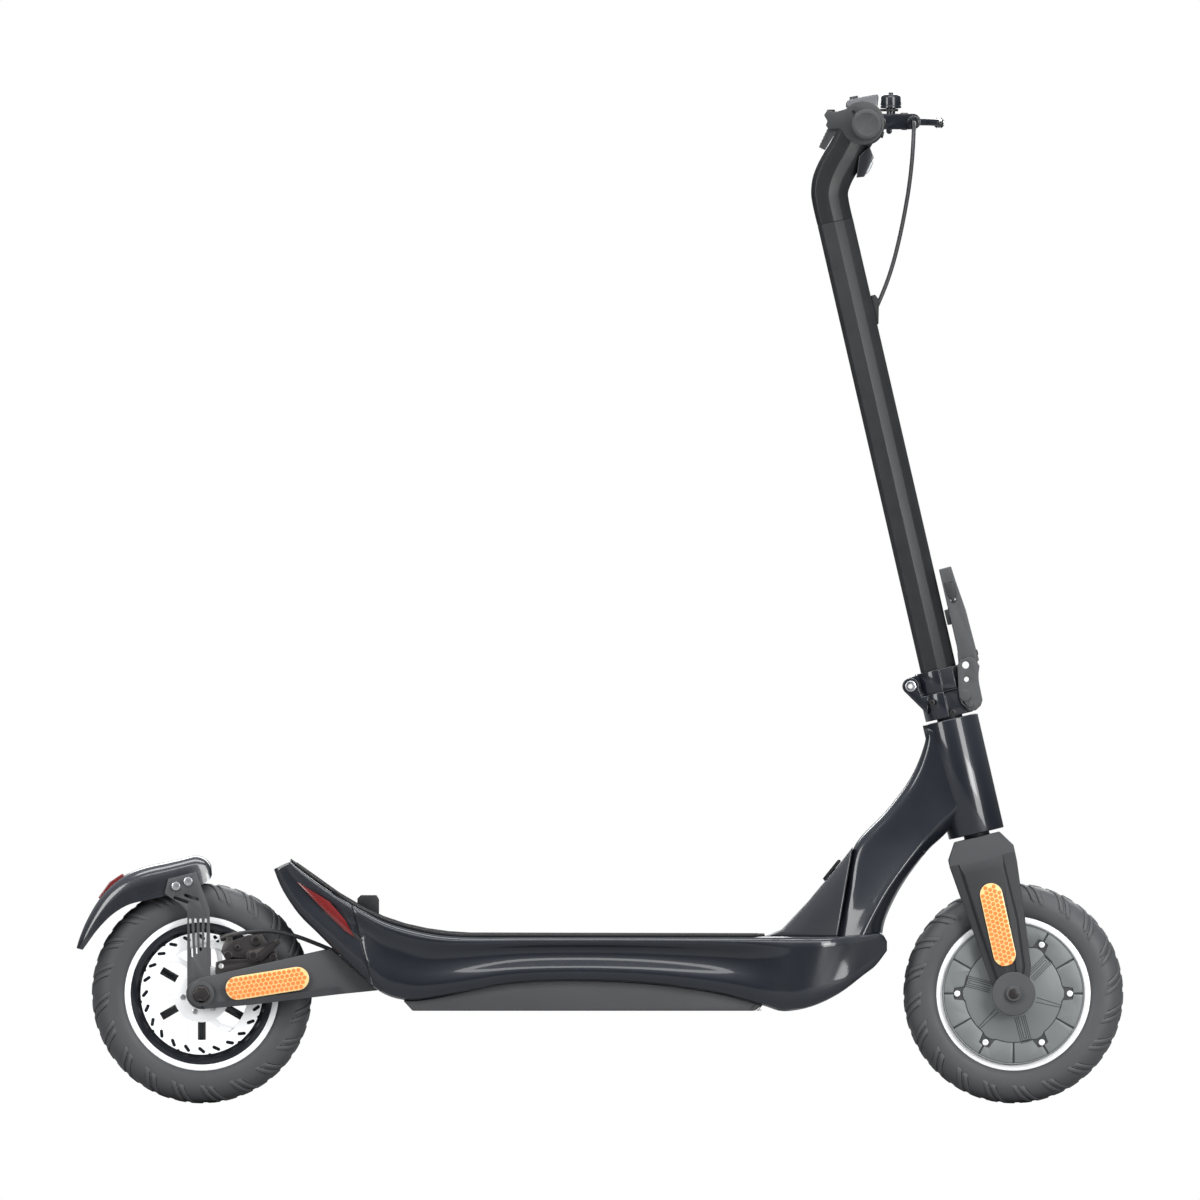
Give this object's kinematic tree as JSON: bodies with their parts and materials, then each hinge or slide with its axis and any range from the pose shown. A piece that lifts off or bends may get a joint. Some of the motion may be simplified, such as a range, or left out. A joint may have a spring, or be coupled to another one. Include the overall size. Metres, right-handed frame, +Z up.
{
  "type": "electric kick scooter",
  "caption": "Folding electric kick scooter: foot deck with kicked-up tail, hub-motor front wheel, disc-braked rear wheel, slanted stem with straight bar and latch.",
  "frame": {"origin": "on the ground under the middle of the overall box, between the two tyres", "axes": "+X forward, +Y to the rider's left, +Z up"},
  "size_m": [1.2095, 0.54, 1.1686],
  "materials": {
    "black_cast": "gloss black paint on cast aluminium",
    "black_tube": "satin black anodised aluminium",
    "grey_cast": "matt charcoal paint on aluminium",
    "steel": "bright steel",
    "dark_steel": "blackened steel",
    "tyre_rubber": "dark grey tyre rubber",
    "mat_rubber": "ribbed black rubber",
    "grip_rubber": "soft grey-black rubber",
    "black_plastic": "matt black plastic",
    "grey_plastic": "matt grey plastic",
    "reflector": "orange honeycomb reflector",
    "red_lens": "red lens plastic",
    "display_glass": "dark glossy display window",
    "cable": "black cable jacket",
    "cells": "shrink-wrapped cell pack",
    "copper": "copper windings on a steel core"
  },
  "bodies": {
    "frame": {"deck_frame": "black_cast", "down_tube": "black_cast", "head_tube": "black_cast", "tail_cover": "black_cast", "foot_cover": "black_plastic", "deck_mat": "mat_rubber", "battery_cover": "grey_plastic", "battery_pack": "cells", "motor_controller": "grey_cast", "tail_lights": "red_lens", "fold_catch": "black_plastic", "rear_arms": "grey_cast", "arm_reflectors": "reflector", "rear_axle": "steel", "rear_axle_nuts": "dark_steel", "fender": "black_plastic", "fender_stays": "grey_cast", "tail_lamp": "red_lens", "fender_screws": "steel", "caliper_body": "dark_steel", "brake_cable_rear": "cable", "headset_bearings": "steel"},
    "rear_wheel": {"rear_tyre": "tyre_rubber", "rear_rim": "black_cast", "brake_rotor": "steel", "rear_bearings": "steel"},
    "caliper_lever": {"caliper_arm": "dark_steel"},
    "kickstand": {"kickstand_leg": "dark_steel"},
    "charge_cap": {"charge_flap": "mat_rubber"},
    "steering_fork": {"fork": "grey_cast", "front_axle": "steel", "front_axle_nuts": "dark_steel", "fork_reflectors": "reflector", "motor_stator": "copper", "hinge_collar": "black_cast", "hinge_pin": "steel"},
    "front_wheel": {"front_tyre": "tyre_rubber", "motor_shell": "black_cast", "motor_covers": "grey_cast", "motor_screws": "steel"},
    "stem": {"stem_tube": "black_tube", "stem_flange": "black_cast", "stem_neck": "black_cast", "headlight": "black_plastic", "handlebar": "black_tube", "grips": "grip_rubber", "display": "display_glass", "throttle_housing": "grey_plastic", "brake_perch": "black_cast", "brake_cable_front": "cable", "cable_guide": "mat_rubber", "bell": "black_cast"},
    "claw": {"latch_claw": "grey_cast"},
    "fold_lever": {"latch_lever": "grey_cast"},
    "safety_catch": {"safety_button": "grey_plastic"},
    "brake_handle": {"brake_lever": "grey_cast"},
    "throttle": {"throttle_paddle": "grey_plastic"},
    "power_switch": {"power_button": "grey_plastic"},
    "mode_switch": {"mode_button": "mat_rubber"},
    "bell_thumb": {"bell_striker": "black_plastic"}
  },
  "joints": [
    {"name": "steering", "type": "hinge", "parent": "frame", "child": "steering_fork", "pos_m": [0.477, 0, 0.1275], "axis": [-0.225, 0, 0.9744], "range_deg": [-45, 45]},
    {"name": "front_wheel_spin", "type": "hinge", "parent": "steering_fork", "child": "front_wheel", "pos_m": [0.477, 0, 0.1275], "axis": [0, 1, 0], "continuous": true},
    {"name": "rear_wheel_spin", "type": "hinge", "parent": "frame", "child": "rear_wheel", "pos_m": [-0.4595, 0, 0.1275], "axis": [0, 1, 0], "continuous": true},
    {"name": "stem_fold", "type": "hinge", "parent": "steering_fork", "child": "stem", "pos_m": [0.35851, 0, 0.48203], "axis": [0, -1, 0], "range_deg": [0, 104]},
    {"name": "claw_swing", "type": "hinge", "parent": "steering_fork", "child": "claw", "pos_m": [0.4215, 0, 0.47102], "axis": [0, 1, 0], "range_deg": [0, 104]},
    {"name": "lever_swing", "type": "hinge", "parent": "claw", "child": "fold_lever", "pos_m": [0.422, 0, 0.50649], "axis": [0, 1, 0], "range_deg": [0, 50]},
    {"name": "safety_slide", "type": "slide", "parent": "fold_lever", "child": "safety_catch", "axis": [0.225, 0, -0.9744], "range_m": [0, 0.004], "stiffness_N_per_m": 300},
    {"name": "brake_pull", "type": "hinge", "parent": "stem", "child": "brake_handle", "pos_m": [0.352, 0.133, 1.1345], "axis": [0, 0, 1], "range_deg": [0, 22], "stiffness_Nm_per_rad": 0.8},
    {"name": "caliper_pull", "type": "hinge", "parent": "frame", "child": "caliper_lever", "pos_m": [-0.4, -0.05, 0.171], "axis": [0, -1, 0], "range_deg": [0, 22]},
    {"name": "throttle_push", "type": "hinge", "parent": "stem", "child": "throttle", "pos_m": [0.2685, -0.128, 1.129], "axis": [0, -1, 0], "range_deg": [0, 30], "stiffness_Nm_per_rad": 0.1},
    {"name": "power_press", "type": "slide", "parent": "stem", "child": "power_switch", "axis": [0.1843, 0, -0.9829], "range_m": [0, 0.001], "stiffness_N_per_m": 300},
    {"name": "mode_press", "type": "slide", "parent": "stem", "child": "mode_switch", "axis": [0, 0, -1], "range_m": [0, 0.0012], "stiffness_N_per_m": 300},
    {"name": "bell_strike", "type": "hinge", "parent": "stem", "child": "bell_thumb", "pos_m": [0.3365, 0.123, 1.1482], "axis": [0, 0, 1], "range_deg": [0, 30], "stiffness_Nm_per_rad": 0.02},
    {"name": "kickstand_swing", "type": "hinge", "parent": "frame", "child": "kickstand", "pos_m": [0.15, 0.0852, 0.1155], "axis": [0, -0.9659, -0.2588], "range_deg": [0, 88]},
    {"name": "charge_cap_swing", "type": "hinge", "parent": "frame", "child": "charge_cap", "pos_m": [0.27618, 0, 0.28018], "axis": [0, 1, 0], "range_deg": [0, 85]}
  ],
  "couplings": [
    {"joint": "claw_swing", "follows": "stem_fold", "ratio": 1},
    {"joint": "caliper_pull", "follows": "brake_pull", "ratio": 1}
  ]
}
